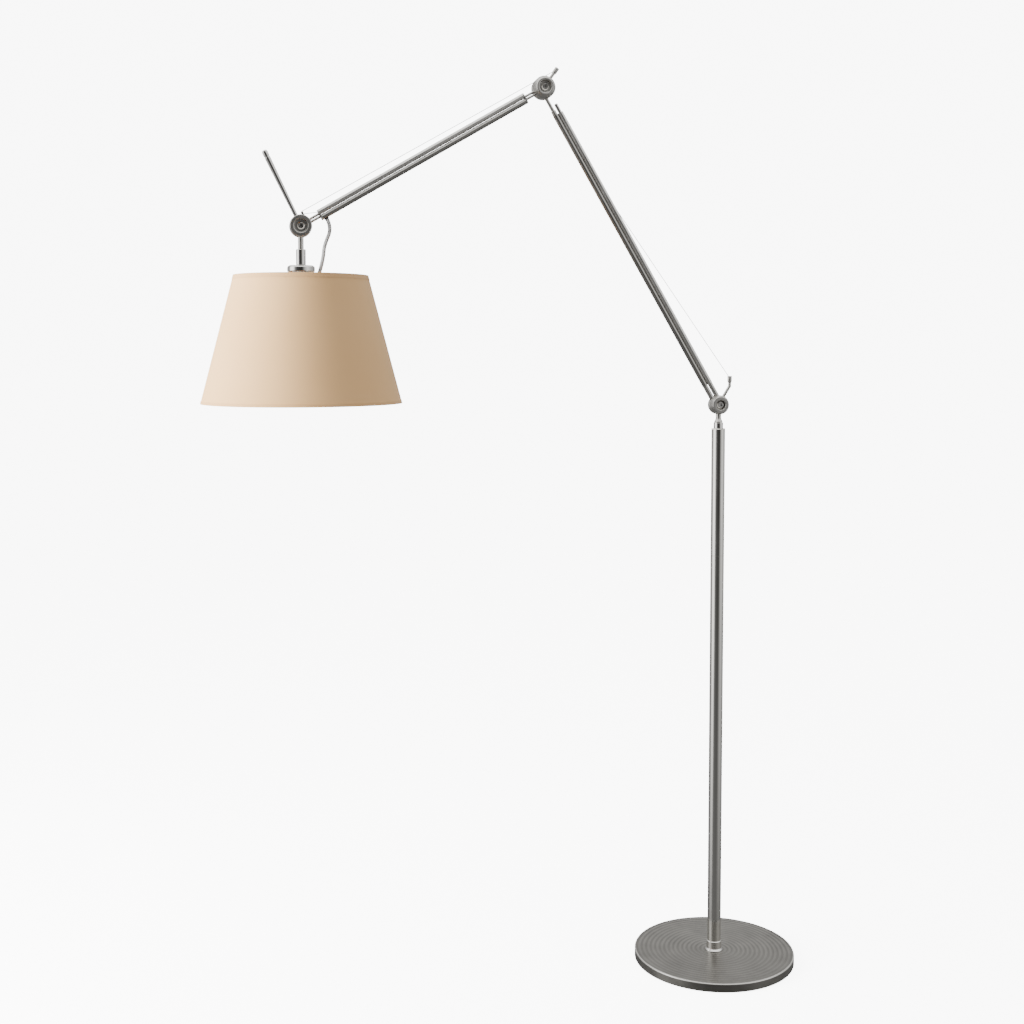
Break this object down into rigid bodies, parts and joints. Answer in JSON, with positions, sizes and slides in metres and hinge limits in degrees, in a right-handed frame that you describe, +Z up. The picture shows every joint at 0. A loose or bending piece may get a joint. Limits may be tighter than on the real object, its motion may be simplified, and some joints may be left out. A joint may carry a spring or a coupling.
{
  "type": "bridge floor lamp",
  "caption": "Spring-balanced arm floor lamp: round weighted foot, swivelling stem, folding twin-tube arms with friction knuckles and a tilting cone shade.",
  "frame": {"origin": "centre of the foot's underside, on the floor", "axes": "+Z up the stem; the arms fold in the XZ plane with the shade towards -X; the knuckles' bolt heads face -Y"},
  "size_m": [1.2012, 0.388, 1.8283],
  "materials": {
    "satin_steel": "satin, brushed",
    "cast_aluminium": "polished casting",
    "turned_aluminium": "turned, satin",
    "chrome": "polished",
    "zinc_steel": "zinc plated",
    "spring_steel": "drawn, oiled",
    "stranded_cable": "fine stranded",
    "cast_iron": "rough, painted black",
    "black_rubber": "matt",
    "bearing_plastic": "matt",
    "lead_sheath": "smooth grey sheath",
    "holder_plastic": "moulded, white",
    "bulb_cap_brass": "nickelled",
    "opal_glass": "opal",
    "parchment": "laminated parchment cloth",
    "parchment_tape": "folded tape",
    "white_wire": "white powder coat"
  },
  "bodies": {
    "stand": {"foot_cover": "satin_steel", "foot_weight": "cast_iron", "foot_pad": "black_rubber", "lead_gland": "black_rubber", "foot_washer": "zinc_steel", "foot_nut": "zinc_steel", "stem_nipple": "zinc_steel", "stem_collar": "chrome", "stem_lower_tube": "satin_steel", "stem_upper_tube": "satin_steel", "stem_foot_plug": "zinc_steel", "stem_joiner": "zinc_steel", "swivel_bush": "bearing_plastic"},
    "swivel": {"swivel_collar": "turned_aluminium", "swivel_spindle": "zinc_steel", "swivel_clip": "zinc_steel", "shoulder_cup": "cast_aluminium", "shoulder_bolt": "chrome", "shoulder_spring_washer": "zinc_steel", "shoulder_nut": "zinc_steel", "shoulder_friction_disc": "bearing_plastic", "shoulder_horn_pin": "zinc_steel"},
    "lower_arm": {"shoulder_housing": "cast_aluminium", "lower_arm_spring_tube": "satin_steel", "lower_arm_wire_tube": "satin_steel", "lower_spring_adjuster": "turned_aluminium", "lower_balance_spring": "spring_steel", "lower_tension_cable": "stranded_cable", "elbow_cup": "cast_aluminium", "elbow_bolt": "chrome", "elbow_spring_washer": "zinc_steel", "elbow_nut": "zinc_steel", "elbow_friction_disc": "bearing_plastic", "elbow_horn_pin": "zinc_steel"},
    "upper_arm": {"elbow_housing": "cast_aluminium", "upper_arm_spring_tube": "satin_steel", "upper_arm_wire_tube": "satin_steel", "wrist_housing": "cast_aluminium", "upper_balance_spring": "spring_steel", "upper_tension_cable": "stranded_cable", "flex_grommet": "black_rubber"},
    "head": {"wrist_cup": "cast_aluminium", "wrist_bolt": "chrome", "wrist_spring_washer": "zinc_steel", "wrist_nut": "zinc_steel", "wrist_friction_disc": "bearing_plastic", "head_handle": "turned_aluminium", "neck_sleeve": "turned_aluminium", "cap_washer": "turned_aluminium", "shade_cap": "chrome", "lampholder": "holder_plastic", "lampholder_ring": "holder_plastic", "bulb_cap": "bulb_cap_brass", "bulb_glass": "opal_glass", "shade": "parchment", "shade_top_hem": "parchment_tape", "shade_bottom_hem": "parchment_tape", "shade_bottom_wire": "white_wire", "shade_spider": "white_wire", "flex_lead": "lead_sheath"}
  },
  "joints": [
    {"name": "stem_swivel", "type": "hinge", "parent": "stand", "child": "swivel", "pos_m": [0, 0, 1.108], "axis": [0, 0, 1], "range_deg": [-170, 170]},
    {"name": "shoulder_tilt", "type": "hinge", "parent": "swivel", "child": "lower_arm", "pos_m": [0, 0, 1.158], "axis": [0, -1, 0], "range_deg": [-20, 40], "deforming": ["lower_tension_cable", "lower_balance_spring"]},
    {"name": "elbow_tilt", "type": "hinge", "parent": "lower_arm", "child": "upper_arm", "pos_m": [-0.3657, 0, 1.78633], "axis": [0, -1, 0], "range_deg": [-50, 25], "deforming": ["upper_tension_cable", "upper_balance_spring"]},
    {"name": "wrist_tilt", "type": "hinge", "parent": "upper_arm", "child": "head", "pos_m": [-0.84226, 0, 1.50896], "axis": [0, -1, 0], "range_deg": [-50, 50], "deforming": ["flex_lead"]}
  ]
}
